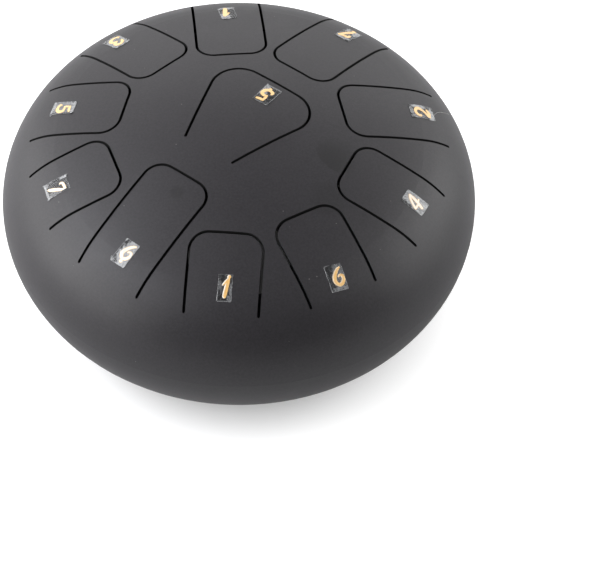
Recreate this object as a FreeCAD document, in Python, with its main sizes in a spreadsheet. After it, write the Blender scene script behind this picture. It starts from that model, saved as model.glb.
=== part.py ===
import FreeCAD, Part
import math
import os
import Sketcher
from FreeCAD import Placement, Rotation, Vector

# Steel tongue drum, in millimetres.
# The origin lies on the table under the middle of the drum and +Z points up.
# The shortest tongue, the high one, points along -Y. Angles run counter-clockwise from +X.

os.makedirs("parts", exist_ok=True)
doc = FreeCAD.newDocument("tongue_drum")

# Driving sizes
SIZES = {
    # Two pressed shells, butted edge to edge on the mid-plane and welded there
    "drum_diameter": 254.0,
    "upper_dome_radius": 273.6,
    "upper_shoulder_radius": 47.0,
    "lower_dome_radius": 750.0,
    "lower_shoulder_radius": 51.0,
    "sheet_thickness": 2.0,
    "sound_hole_diameter": 58.0,
    # How far the lower dome would clear the table at its lowest point, if it had no sound hole
    "belly_clearance": 11.0,
    # Slots cut through the upper shell; the tongues end in them and are rooted on one circle
    "slot_width": 1.5,
    "slot_root_inset": 16.8,
    "tongue_width": 37.2,
    "tongue_corner_radius": 9.6,
    # The large tongue in the middle, wider at its tip than at its root
    "middle_tip": 32.4,
    "middle_root": 25.9,
    "middle_root_width": 30.4,
    "middle_taper": 18.2,
    "middle_corner_radius": 14.9,
    # Number films, glued on the tongues
    "film_length": 13.2,
    "film_width": 9.0,
    "film_corner_radius": 0.4,
    "film_thickness": 0.1,
    "glue_thickness": 0.05,
    # Moulded rubber feet, each recessed for a washer and a screw, with a web of rubber under the shell
    "foot_count": 4,
    "foot_first_angle": 45.0,
    "foot_circle_radius": 75.0,
    "foot_diameter": 24.0,
    "foot_tread_diameter": 21.0,
    "foot_taper_height": 6.5,
    "foot_edge_radius": 1.2,
    "foot_recess_diameter": 12.0,
    "foot_web": 5.7,
    "washer_gap": 0.2,
    "washer_thickness": 1.0,
    # Pan-head screws that cut their thread in the lower shell
    "screw_diameter": 4.0,
    "screw_length": 12.0,
    "screw_point_length": 1.2,
    "screw_head_diameter": 8.0,
    "screw_head_height": 2.9,
    "screw_head_edge": 1.0,
    "screw_recess_reach": 2.3,
    "screw_recess_width": 1.0,
    "screw_recess_depth": 1.7,
    "bore_clearance": 0.25,
    "thread_clearance": 0.05,
}

# Each tongue's direction and its tip's distance from the drum's axis, to the middle of the slot, and
# where its film lies: in from the root circle, to the left of the tongue's middle line, and turned
NOTES = {
    "low_six": {"angle": -122.5, "tip": 45.5, "film_inset": 14.9, "film_left": 0.9, "film_turn": -2.0},
    "low_seven": {"angle": 57.3, "tip": 48.4, "film_inset": 11.6, "film_left": 0.6, "film_turn": 0.0},
    "one": {"angle": 99.1, "tip": 50.0, "film_inset": 17.4, "film_left": 0.3, "film_turn": 6.0},
    "two": {"angle": 16.1, "tip": 54.8, "film_inset": 11.3, "film_left": 2.2, "film_turn": 0.0},
    "three": {"angle": 136.6, "tip": 57.8, "film_inset": 11.1, "film_left": 1.4, "film_turn": -2.0},
    "four": {"angle": -21.2, "tip": 61.4, "film_inset": 11.2, "film_left": 2.2, "film_turn": -2.0},
    "five": {"angle": 171.8, "tip": 61.6, "film_inset": 14.5, "film_left": -0.5, "film_turn": -3.0},
    "six": {"angle": -56.7, "tip": 65.9, "film_inset": 8.3, "film_left": 0.5, "film_turn": -8.0},
    "seven": {"angle": -155.8, "tip": 68.0, "film_inset": 11.3, "film_left": -1.4, "film_turn": -1.4},
    "high_one": {"angle": -90.0, "tip": 70.0, "film_inset": 12.5, "film_left": 0.6, "film_turn": 0.0},
}
# The middle tongue's tip faces its direction, and its film lies in from that tip
MIDDLE_NOTE = {"angle": 57.5, "film_inset": 10.5, "film_left": -0.9, "film_turn": 1.5}
for note, places in {**NOTES, "low_five": MIDDLE_NOTE}.items():
    for place, value in places.items():
        SIZES[f"{note}_{place}"] = value

sheet = doc.addObject("Spreadsheet::Sheet", "sizes")
for row, (name, value) in enumerate(SIZES.items(), start=1):
    sheet.set(f"A{row}", name)
    sheet.set(f"B{row}", str(value))
    sheet.setAlias(f"B{row}", name)

# Heights and distances that follow from the driving sizes; a dome's centre lies this far beyond
# the mid-plane
RESULTS = {
    "upper_dome_centre": "sqrt((sizes.upper_dome_radius - sizes.upper_shoulder_radius)^2"
    " - (sizes.drum_diameter / 2 - sizes.upper_shoulder_radius)^2)",
    "lower_dome_centre": "sqrt((sizes.lower_dome_radius - sizes.lower_shoulder_radius)^2"
    " - (sizes.drum_diameter / 2 - sizes.lower_shoulder_radius)^2)",
    "midplane": "sizes.belly_clearance + sizes.lower_dome_radius - lower_dome_centre",
    "root_circle_radius": "sizes.drum_diameter / 2 - sizes.slot_root_inset",
    "shell_over_foot": "midplane + lower_dome_centre"
    " - sqrt(sizes.lower_dome_radius^2 - sizes.foot_circle_radius^2)",
    "washer_top": "shell_over_foot - sizes.foot_web",
    "screw_seat": "washer_top - sizes.washer_thickness",
    "screw_crown": "screw_seat - sizes.screw_head_height",
    "bore_radius": "sizes.screw_diameter / 2 + sizes.bore_clearance",
}
results = doc.addObject("App::VarSet", "results")
for name, formula in RESULTS.items():
    results.addProperty("App::PropertyFloat", name)
    results.setExpression(name, formula)
doc.recompute()

# A sketch's level axis, its upright axis, which is numbered next below it, and its origin
LEVEL_AXIS = -1
UPRIGHT_AXIS = LEVEL_AXIS - 1
ORIGIN_POINT = (LEVEL_AXIS, 1)

# Layers of a shell: how far each lies outside the painted face, and the same as a formula's end
FACE = (0, "")
INSIDE = (-SIZES["sheet_thickness"], " - sizes.sheet_thickness")
FILM_UNDERSIDE = (SIZES["glue_thickness"], " + sizes.glue_thickness")
FILM_TOP = (FILM_UNDERSIDE[0] + SIZES["film_thickness"], FILM_UNDERSIDE[1] + " + sizes.film_thickness")

NORMAL = Vector(0, 0, 1)


# Sketches and features


def new_body(name):
    body = doc.addObject("PartDesign::Body", name)
    body.Label = name
    return body


def new_sketch(body, name, plane="XY_Plane"):
    sketch = body.newObject("Sketcher::SketchObject", name)
    support = next(item for item in body.Origin.OriginFeatures if item.Role == plane)
    sketch.AttachmentSupport = [(support, "")]
    sketch.MapMode = "FlatFace"
    return sketch


def shift_sketch(sketch, axis, text):
    sketch.setExpression(f"AttachmentOffset.Base.{axis}", text)


def turn_sketch(sketch, text):
    sketch.AttachmentOffset = Placement(Vector(), Rotation(NORMAL, 1))
    sketch.setExpression("AttachmentOffset.Rotation.Angle", text)


def bind(sketch, constraint, text):
    """Add a constraint whose value follows the sizes."""
    index = sketch.addConstraint(constraint)
    sketch.setExpression(f"Constraints[{index}]", text)


def set_across(sketch, point, distance, text):
    """How far a point, given as a curve and its end, lies from the upright axis."""
    bind(sketch, Sketcher.Constraint("DistanceX", *ORIGIN_POINT, *point, distance), text)


def set_height(sketch, point, distance, text):
    """How far a point, given as a curve and its end, lies above the level axis."""
    bind(sketch, Sketcher.Constraint("DistanceY", *ORIGIN_POINT, *point, distance), text)


def add_line(sketch, first, second):
    return sketch.addGeometry(Part.LineSegment(Vector(*first), Vector(*second)))


def add_arc(sketch, centre, radius, start, end):
    return sketch.addGeometry(Part.ArcOfCircle(Part.Circle(Vector(*centre), NORMAL, radius), start, end))


def add_circle(sketch, radius, text):
    """A circle round the sketch's origin."""
    ring = sketch.addGeometry(Part.Circle(Vector(), NORMAL, radius))
    sketch.addConstraint(Sketcher.Constraint("Coincident", ring, 3, *ORIGIN_POINT))
    bind(sketch, Sketcher.Constraint("Radius", ring, radius), text)
    return ring


def join_points(sketch, first, second):
    """A straight line between two points, each given as a curve and its end."""
    line = add_line(sketch, sketch.getPoint(*first), sketch.getPoint(*second))
    sketch.addConstraint(Sketcher.Constraint("Coincident", line, 1, *first))
    sketch.addConstraint(Sketcher.Constraint("Coincident", line, 2, *second))
    return line


def join_smoothly(sketch, first, second):
    """A straight line that leaves one curve and meets the other without a corner."""
    line = add_line(sketch, sketch.getPoint(*first), sketch.getPoint(*second))
    sketch.addConstraint(Sketcher.Constraint("Tangent", *first, line, 1))
    sketch.addConstraint(Sketcher.Constraint("Tangent", line, 2, *second))
    return line


def outline(sketch, points):
    """A closed outline of straight lines: level and upright ones are held so."""
    lines = []
    for start, end in zip(points, points[1:] + points[:1]):
        line = add_line(sketch, start, end)
        if start[0] == end[0]:
            sketch.addConstraint(Sketcher.Constraint("Vertical", line))
        elif start[1] == end[1]:
            sketch.addConstraint(Sketcher.Constraint("Horizontal", line))
        lines.append(line)
    for line, following in zip(lines, lines[1:] + lines[:1]):
        sketch.addConstraint(Sketcher.Constraint("Coincident", line, 2, following, 1))
    return lines


def revolve(body, sketch, name, kind="PartDesign::Revolution"):
    """Turn a section about its own upright axis."""
    feature = body.newObject(kind, name)
    feature.Profile = sketch
    feature.ReferenceAxis = (sketch, ["V_Axis"])
    feature.Angle = 360
    return feature


def pocket_upward(body, sketch, name):
    """Cut the sketch's shape through everything above it."""
    feature = body.newObject("PartDesign::Pocket", name)
    feature.Profile = sketch
    feature.Type = "ThroughAll"
    feature.Reversed = True
    return feature


# Domed shells


def dome_curve(sketch, half, layer):
    """One layer of a shell's section: its shoulder's arc from the mid-plane, then its dome's to the axis."""
    growth, growth_text = layer
    shoulder = SIZES[f"{half}_shoulder_radius"]
    dome = SIZES[f"{half}_dome_radius"]
    shoulder_centre = SIZES["drum_diameter"] / 2 - shoulder
    dome_centre = getattr(results, f"{half}_dome_centre")
    join = math.atan2(dome_centre, shoulder_centre)
    side = add_arc(sketch, (shoulder_centre, 0), shoulder + growth, 0, join)
    top = add_arc(sketch, (0, -dome_centre), dome + growth, join, math.pi / 2)
    sketch.addConstraint(
        [
            Sketcher.Constraint("Tangent", side, 2, top, 1),
            Sketcher.Constraint("PointOnObject", side, 3, LEVEL_AXIS),
            Sketcher.Constraint("PointOnObject", side, 1, LEVEL_AXIS),
            Sketcher.Constraint("PointOnObject", top, 3, UPRIGHT_AXIS),
            Sketcher.Constraint("PointOnObject", top, 2, UPRIGHT_AXIS),
        ]
    )
    centre_text = f"sizes.drum_diameter / 2 - sizes.{half}_shoulder_radius"
    set_across(sketch, (side, 3), shoulder_centre, centre_text)
    side_radius = Sketcher.Constraint("Radius", side, shoulder + growth)
    bind(sketch, side_radius, f"sizes.{half}_shoulder_radius{growth_text}")
    top_radius = Sketcher.Constraint("Radius", top, dome + growth)
    bind(sketch, top_radius, f"sizes.{half}_dome_radius{growth_text}")
    return side, top


def domed_skin(body, half, inner, outer):
    """A domed skin between two layers."""
    section = new_sketch(body, f"{body.Label}_section", "XZ_Plane")
    outer_side, outer_top = dome_curve(section, half, outer)
    inner_side, inner_top = dome_curve(section, half, inner)
    join_points(section, (inner_side, 1), (outer_side, 1))
    join_points(section, (outer_top, 2), (inner_top, 2))
    return revolve(body, section, f"{body.Label}_skin")


def stand_on_midplane(body, turn):
    """Lift a body to the mid-plane and turn it about the drum's axis."""
    body.Placement = Placement(Vector(), Rotation(NORMAL, 1))
    body.setExpression("Placement.Base.z", "results.midplane")
    body.setExpression("Placement.Rotation.Angle", turn)


# Tongues


def slot_band(sketch, tip, root, root_width, lean, corner_radius):
    """A slot that runs up one side of a tongue, across its tip and down the other side.

    The tongue's root lies along +X, and its sides spread by the lean, in radians, toward the tip.
    Returns its left and right ends, its left outer corner and its straight runs.
    """
    half_slot = SIZES["slot_width"] / 2
    normal = math.pi / 2 - lean
    centre_x = tip + corner_radius
    spread = (root - centre_x) * math.tan(lean) - corner_radius / math.cos(lean)
    centre_y = root_width / 2 + spread
    left_end = add_arc(sketch, (root, root_width / 2), half_slot, normal - math.pi, normal)
    right_end = add_arc(sketch, (root, -root_width / 2), half_slot, -normal, math.pi - normal)
    corners = []
    for radius in (corner_radius + half_slot, corner_radius - half_slot):
        left = add_arc(sketch, (centre_x, centre_y), radius, normal, math.pi)
        right = add_arc(sketch, (centre_x, -centre_y), radius, math.pi, 2 * math.pi - normal)
        corners += [left, right]
    left_outer, right_outer, left_inner, right_inner = corners
    chain = [
        ((left_end, 2), (left_outer, 1)),
        ((left_outer, 2), (right_outer, 1)),
        ((right_outer, 2), (right_end, 1)),
        ((right_end, 2), (right_inner, 2)),
        ((right_inner, 1), (left_inner, 2)),
        ((left_inner, 1), (left_end, 1)),
    ]
    runs = [join_smoothly(sketch, first, second) for first, second in chain]
    sketch.addConstraint(
        [
            Sketcher.Constraint("Coincident", left_outer, 3, left_inner, 3),
            Sketcher.Constraint("Coincident", right_outer, 3, right_inner, 3),
            Sketcher.Constraint("Symmetric", left_end, 3, right_end, 3, LEVEL_AXIS),
            Sketcher.Constraint("Vertical", runs[1]),
            Sketcher.Constraint("Equal", left_end, right_end),
            Sketcher.Constraint("Equal", left_outer, right_outer),
        ]
    )
    bind(sketch, Sketcher.Constraint("Radius", left_end, half_slot), "sizes.slot_width / 2")
    return left_end, right_end, left_outer, runs


def size_slot(sketch, band, root_width, corner_radius, tip_text):
    """Bind the sizes that every tongue has: its width, its corners and its tip."""
    left_end, right_end, left_outer, runs = band
    width = Sketcher.Constraint("DistanceY", right_end, 3, left_end, 3, SIZES[root_width])
    bind(sketch, width, f"sizes.{root_width}")
    corner = Sketcher.Constraint("Radius", left_outer, SIZES[corner_radius])
    bind(sketch, corner, f"sizes.{corner_radius} + sizes.slot_width / 2")
    set_across(sketch, (runs[1], 1), sketch.getPoint(runs[1], 1).x, tip_text)


def cut_outer_tongue(body, note):
    """A tongue with parallel sides: its tip faces the drum's axis and its root is on the root circle."""
    width = SIZES["tongue_width"]
    root_radius = results.root_circle_radius
    root = math.sqrt(root_radius**2 - (width / 2) ** 2)
    sketch = new_sketch(body, f"{note}_slot")
    band = slot_band(sketch, SIZES[f"{note}_tip"], root, width, 0, SIZES["tongue_corner_radius"])
    left_end, _, _, runs = band
    for side in (runs[0], runs[2], runs[3], runs[5]):
        sketch.addConstraint(Sketcher.Constraint("Horizontal", side))
    root_circle = add_circle(sketch, root_radius, "results.root_circle_radius")
    sketch.setConstruction(root_circle, True)
    sketch.addConstraint(Sketcher.Constraint("PointOnObject", left_end, 3, root_circle))
    tip_text = f"sizes.{note}_tip - sizes.slot_width / 2"
    size_slot(sketch, band, "tongue_width", "tongue_corner_radius", tip_text)
    turn_sketch(sketch, f"sizes.{note}_angle")
    pocket_upward(body, sketch, f"{note}_cut")


def cut_middle_tongue(body):
    """The tapered tongue in the middle: the sketch is turned half round, so that its root lies along +X."""
    lean = math.radians(SIZES["middle_taper"])
    root = SIZES["middle_root"]
    sketch = new_sketch(body, "low_five_slot")
    corner = SIZES["middle_corner_radius"]
    band = slot_band(sketch, -SIZES["middle_tip"], root, SIZES["middle_root_width"], lean, corner)
    left_end, _, _, runs = band
    for side, base, sign in ((0, 180, -1), (2, 0, 1), (3, 180, 1), (5, 0, -1)):
        direction = Sketcher.Constraint("Angle", runs[side], math.radians(base) + sign * lean)
        bind(sketch, direction, f"{base} + {sign} * sizes.middle_taper")
    set_across(sketch, (left_end, 3), root, "sizes.middle_root")
    tip_text = "-sizes.middle_tip - sizes.slot_width / 2"
    size_slot(sketch, band, "middle_root_width", "middle_corner_radius", tip_text)
    turn_sketch(sketch, "sizes.low_five_angle + 180")
    pocket_upward(body, sketch, "low_five_cut")


# Shells


def upper_shell():
    body = new_body("upper_shell")
    domed_skin(body, "upper", INSIDE, FACE)
    for note in NOTES:
        cut_outer_tongue(body, note)
    cut_middle_tongue(body)
    stand_on_midplane(body, "0")
    return body


def lower_shell():
    """A pressing turned over, with a sound hole in the middle and a screw hole for each foot."""
    body = new_body("lower_shell")
    domed_skin(body, "lower", INSIDE, FACE)
    rim = new_sketch(body, "sound_hole_rim")
    add_circle(rim, SIZES["sound_hole_diameter"] / 2, "sizes.sound_hole_diameter / 2")
    pocket_upward(body, rim, "sound_hole")
    hole_rim = new_sketch(body, "screw_hole_rim")
    radius = SIZES["screw_diameter"] / 2 + SIZES["thread_clearance"]
    add_circle(hole_rim, radius, "sizes.screw_diameter / 2 + sizes.thread_clearance")
    shift_sketch(hole_rim, "x", "sizes.foot_circle_radius * cos(sizes.foot_first_angle * 1 deg)")
    shift_sketch(hole_rim, "y", "sizes.foot_circle_radius * -sin(sizes.foot_first_angle * 1 deg)")
    hole = pocket_upward(body, hole_rim, "screw_hole")
    doc.recompute()
    holes = body.newObject("PartDesign::PolarPattern", "screw_holes")
    holes.Originals = [hole]
    axis = next(item for item in body.Origin.OriginFeatures if item.Role == "Z_Axis")
    holes.Axis = (axis, [""])
    holes.Angle = 360
    holes.setExpression("Occurrences", "sizes.foot_count")
    body.Tip = holes
    body.Placement = Placement(Vector(), Rotation(Vector(1, 0, 0), 180))
    body.setExpression("Placement.Base.z", "results.midplane")
    return body


# Feet, washers and screws


def foot_section(body):
    """An upright sketch whose origin is on the table, under a foot's screw."""
    sketch = new_sketch(body, f"{body.Label}_section", "XZ_Plane")
    shift_sketch(sketch, "x", "sizes.foot_circle_radius")
    return sketch


def stand_at_foot(body, index):
    """Turn a foot's piece about the drum's axis to its place."""
    body.Placement = Placement(Vector(), Rotation(NORMAL, 1))
    turn = f"sizes.foot_first_angle + 360 * {index} / sizes.foot_count"
    body.setExpression("Placement.Rotation.Angle", turn)


def tread_edge(shape):
    """The widest of the round edges that lie on the table."""
    on_table = {}
    for index, edge in enumerate(shape.Edges, start=1):
        if isinstance(edge.Curve, Part.Circle) and abs(edge.Curve.Center.z) < edge.Tolerance:
            on_table[edge.Curve.Radius] = f"Edge{index}"
    return on_table[max(on_table)]


def foot(index):
    """A rubber foot: a flat tread, a recess for its screw, and a top moulded to the shell's curve."""
    name = f"foot_{index + 1}"
    body = new_body(name)
    section = foot_section(body)
    recess = SIZES["foot_recess_diameter"] / 2
    tread = SIZES["foot_tread_diameter"] / 2
    side = SIZES["foot_diameter"] / 2
    bore = results.bore_radius
    seat = results.washer_top
    taper = SIZES["foot_taper_height"]
    top = results.midplane
    points = [(recess, 0), (tread, 0), (side, taper), (side, top), (bore, top), (bore, seat), (recess, seat)]
    lines = outline(section, points)
    section.addConstraint(Sketcher.Constraint("PointOnObject", lines[0], 1, LEVEL_AXIS))
    set_across(section, (lines[0], 1), recess, "sizes.foot_recess_diameter / 2")
    set_across(section, (lines[1], 1), tread, "sizes.foot_tread_diameter / 2")
    set_across(section, (lines[2], 1), side, "sizes.foot_diameter / 2")
    set_height(section, (lines[2], 1), taper, "sizes.foot_taper_height")
    set_height(section, (lines[4], 1), top, "results.midplane")
    set_across(section, (lines[5], 1), bore, "results.bore_radius")
    set_height(section, (lines[5], 1), seat, "results.washer_top")
    moulding = revolve(body, section, f"{name}_moulding")
    doc.recompute()
    edge = body.newObject("PartDesign::Fillet", f"{name}_tread_edge")
    edge.Base = (moulding, [tread_edge(moulding.Shape)])
    edge.setExpression("Radius", "sizes.foot_edge_radius")
    shell_face = new_sketch(body, f"{name}_shell_face", "XZ_Plane")
    shell_face.AttachmentOffset = Placement(Vector(), Rotation(Vector(1, 0, 0), 180))
    shift_sketch(shell_face, "y", "results.midplane")
    shoulder_arc, dome_arc = dome_curve(shell_face, "lower", FACE)
    join_points(shell_face, ORIGIN_POINT, (shoulder_arc, 1))
    join_points(shell_face, (dome_arc, 2), ORIGIN_POINT)
    revolve(body, shell_face, f"{name}_top", "PartDesign::Groove")
    stand_at_foot(body, index)
    return body


def foot_washer(index):
    """A flat steel ring on the floor of a foot's recess."""
    name = f"foot_washer_{index + 1}"
    body = new_body(name)
    section = foot_section(body)
    inner = results.bore_radius
    outer = SIZES["foot_recess_diameter"] / 2 - SIZES["washer_gap"]
    top = results.washer_top
    bottom = results.screw_seat
    lines = outline(section, [(inner, bottom), (outer, bottom), (outer, top), (inner, top)])
    set_across(section, (lines[0], 1), inner, "results.bore_radius")
    set_height(section, (lines[0], 1), bottom, "results.screw_seat")
    set_across(section, (lines[2], 1), outer, "sizes.foot_recess_diameter / 2 - sizes.washer_gap")
    set_height(section, (lines[2], 1), top, "results.washer_top")
    revolve(body, section, f"{name}_ring")
    stand_at_foot(body, index)
    return body


def foot_screw(index):
    """A pan-head screw with a cross recess, driven upward through washer, foot and shell."""
    name = f"foot_screw_{index + 1}"
    body = new_body(name)
    section = foot_section(body)
    shank = SIZES["screw_diameter"] / 2
    head = SIZES["screw_head_diameter"] / 2
    seat = results.screw_seat
    end = seat + SIZES["screw_length"]
    point = SIZES["screw_point_length"]
    rim = seat - SIZES["screw_head_edge"]
    crown = results.screw_crown
    corners = [
        (head, rim),
        (head, seat),
        (shank, seat),
        (shank, end - point),
        (shank / 2, end),
        (0, end),
        (0, crown),
    ]
    lines = [add_line(section, start, finish) for start, finish in zip(corners, corners[1:])]
    for line, following in zip(lines, lines[1:]):
        section.addConstraint(Sketcher.Constraint("Coincident", line, 2, following, 1))
    rise = rim - crown
    crown_radius = (head**2 + rise**2) / (2 * rise)
    downward = 1.5 * math.pi
    reach = math.asin(head / crown_radius)
    crown_arc = add_arc(section, (0, crown + crown_radius), crown_radius, downward, downward + reach)
    section.addConstraint(
        [
            Sketcher.Constraint("Vertical", lines[0]),
            Sketcher.Constraint("Horizontal", lines[1]),
            Sketcher.Constraint("Vertical", lines[2]),
            Sketcher.Constraint("Horizontal", lines[4]),
            Sketcher.Constraint("Vertical", lines[5]),
            Sketcher.Constraint("Coincident", crown_arc, 1, lines[5], 2),
            Sketcher.Constraint("Coincident", crown_arc, 2, lines[0], 1),
            Sketcher.Constraint("PointOnObject", crown_arc, 3, UPRIGHT_AXIS),
            Sketcher.Constraint("PointOnObject", lines[5], 1, UPRIGHT_AXIS),
        ]
    )
    end_text = "results.screw_seat + sizes.screw_length"
    set_across(section, (lines[0], 1), head, "sizes.screw_head_diameter / 2")
    set_height(section, (lines[0], 1), rim, "results.screw_seat - sizes.screw_head_edge")
    set_height(section, (lines[1], 1), seat, "results.screw_seat")
    set_across(section, (lines[2], 1), shank, "sizes.screw_diameter / 2")
    set_height(section, (lines[3], 1), end - point, f"{end_text} - sizes.screw_point_length")
    set_across(section, (lines[4], 1), shank / 2, "sizes.screw_diameter / 4")
    set_height(section, (lines[4], 1), end, end_text)
    set_height(section, (crown_arc, 1), crown, "results.screw_crown")
    revolve(body, section, f"{name}_turning")
    cut_cross(body)
    stand_at_foot(body, index)
    return body


def cut_cross(body):
    """The cross recess, cut upward from the crown of a screw's head."""
    cross = new_sketch(body, f"{body.Label}_cross")
    shift_sketch(cross, "x", "sizes.foot_circle_radius")
    shift_sketch(cross, "z", "results.screw_crown")
    reach = SIZES["screw_recess_reach"]
    half = SIZES["screw_recess_width"] / 2
    points = []
    for quarter in range(4):
        for x, y in ((half, -half), (reach, -half), (reach, half)):
            for _ in range(quarter):
                x, y = -y, x
            points.append((x, y))
    lines = outline(cross, points)
    for line in (2, 3, 5, 6, 8, 9, 11):
        cross.addConstraint(Sketcher.Constraint("Equal", lines[0], lines[line]))
    set_across(cross, (lines[1], 1), reach, "sizes.screw_recess_reach")
    set_height(cross, (lines[1], 1), -half, "-sizes.screw_recess_width / 2")
    set_height(cross, (lines[1], 2), half, "sizes.screw_recess_width / 2")
    set_across(cross, (lines[4], 1), half, "sizes.screw_recess_width / 2")
    set_across(cross, (lines[4], 2), -half, "-sizes.screw_recess_width / 2")
    recess = body.newObject("PartDesign::Pocket", f"{body.Label}_recess")
    recess.Profile = cross
    recess.Reversed = True
    recess.setExpression("Length", "sizes.screw_recess_depth")


# Number films


def rounded_rectangle(sketch):
    """A film's outline, centred on the sketch's origin."""
    radius = SIZES["film_corner_radius"]
    reach = SIZES["film_length"] / 2 - radius
    spread = SIZES["film_width"] / 2 - radius
    centres = [(reach, spread), (-reach, spread), (-reach, -spread), (reach, -spread)]
    corners = []
    for quarter, centre in enumerate(centres):
        start = quarter * math.pi / 2
        corners.append(add_arc(sketch, centre, radius, start, start + math.pi / 2))
    for quarter, corner in enumerate(corners):
        side = join_smoothly(sketch, (corner, 2), (corners[(quarter + 1) % 4], 1))
        sketch.addConstraint(Sketcher.Constraint(("Horizontal", "Vertical")[quarter % 2], side))
    for corner in corners[1:]:
        sketch.addConstraint(Sketcher.Constraint("Equal", corners[0], corner))
    sketch.addConstraint(Sketcher.Constraint("Symmetric", corners[0], 3, corners[2], 3, *ORIGIN_POINT))
    bind(sketch, Sketcher.Constraint("Radius", corners[0], radius), "sizes.film_corner_radius")
    set_across(sketch, (corners[0], 3), reach, "sizes.film_length / 2 - sizes.film_corner_radius")
    set_height(sketch, (corners[0], 3), spread, "sizes.film_width / 2 - sizes.film_corner_radius")


def number_film(note, reach_text):
    """A thin clear film with rounded corners, which follows the painted steel under its glue."""
    name = f"number_film_{note}"
    body = new_body(name)
    domed_skin(body, "upper", FILM_UNDERSIDE, FILM_TOP)
    trim = new_sketch(body, f"{name}_outline")
    turn_sketch(trim, f"sizes.{note}_film_turn")
    shift_sketch(trim, "x", reach_text)
    shift_sketch(trim, "y", f"sizes.{note}_film_left")
    add_circle(trim, SIZES["drum_diameter"], "sizes.drum_diameter")
    rounded_rectangle(trim)
    pocket_upward(body, trim, f"{name}_trim")
    stand_on_midplane(body, f"sizes.{note}_angle")
    return body


pieces = [upper_shell(), lower_shell()]
for index in range(SIZES["foot_count"]):
    pieces += [foot(index), foot_washer(index), foot_screw(index)]
for note in NOTES:
    pieces.append(number_film(note, f"results.root_circle_radius - sizes.{note}_film_inset"))
pieces.append(number_film("low_five", "sizes.middle_tip - sizes.low_five_film_inset"))
doc.recompute()

for item in doc.Objects:
    if "Invalid" in item.State or "Error" in item.State:
        raise RuntimeError(f"{item.Name} failed: {item.State}")
for piece in pieces:
    if piece.Shape.isNull() or not piece.Shape.isValid() or len(piece.Shape.Solids) != 1:
        raise RuntimeError(f"{piece.Label} is not one sound solid")
for piece in pieces:
    piece.Shape.exportStep(f"parts/{piece.Label}.step")
    print(f"{piece.Label}: {piece.Shape.Volume:.1f} cubic mm")
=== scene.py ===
import bpy
import math
import numpy as np
from mathutils import Matrix, Vector, noise


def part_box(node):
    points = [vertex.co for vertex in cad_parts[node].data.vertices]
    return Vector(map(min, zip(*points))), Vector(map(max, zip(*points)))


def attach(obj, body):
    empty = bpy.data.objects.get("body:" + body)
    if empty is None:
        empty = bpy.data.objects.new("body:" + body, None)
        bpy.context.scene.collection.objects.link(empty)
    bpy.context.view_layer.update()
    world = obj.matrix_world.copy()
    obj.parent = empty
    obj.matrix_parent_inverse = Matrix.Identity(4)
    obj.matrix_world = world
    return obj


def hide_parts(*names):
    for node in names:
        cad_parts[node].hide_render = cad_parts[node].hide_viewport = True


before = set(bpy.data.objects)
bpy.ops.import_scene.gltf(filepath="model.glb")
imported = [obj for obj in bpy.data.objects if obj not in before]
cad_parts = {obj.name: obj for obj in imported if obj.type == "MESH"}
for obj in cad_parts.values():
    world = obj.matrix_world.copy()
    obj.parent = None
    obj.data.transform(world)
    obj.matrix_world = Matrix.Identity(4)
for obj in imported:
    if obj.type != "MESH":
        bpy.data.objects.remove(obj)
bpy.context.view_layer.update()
MM = 0.001

# The painted steel's upper surface, in millimetres: the height where the two shells meet, the radii of
# the dome and of the shoulder around it, how far the shoulder's centre lies from the drum's axis and the
# dome's centre under the mid-plane, and how far from the axis the two arcs join
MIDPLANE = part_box("upper_shell")[0][2] / MM
DOME, SHOULDER, SHOULDER_CENTRE = 273.6, 47.0, 80.0
DOME_CENTRE = math.sqrt((DOME - SHOULDER) ** 2 - SHOULDER_CENTRE**2)
JOIN = SHOULDER_CENTRE * DOME / (DOME - SHOULDER)
# The pressed sheet really eases from one curve to the other, within so far on each side of the join
EASE = 16.0
EASED_HEIGHT = (1 / SHOULDER - 1 / DOME) * EASE**2 / 12


# Materials


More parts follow.
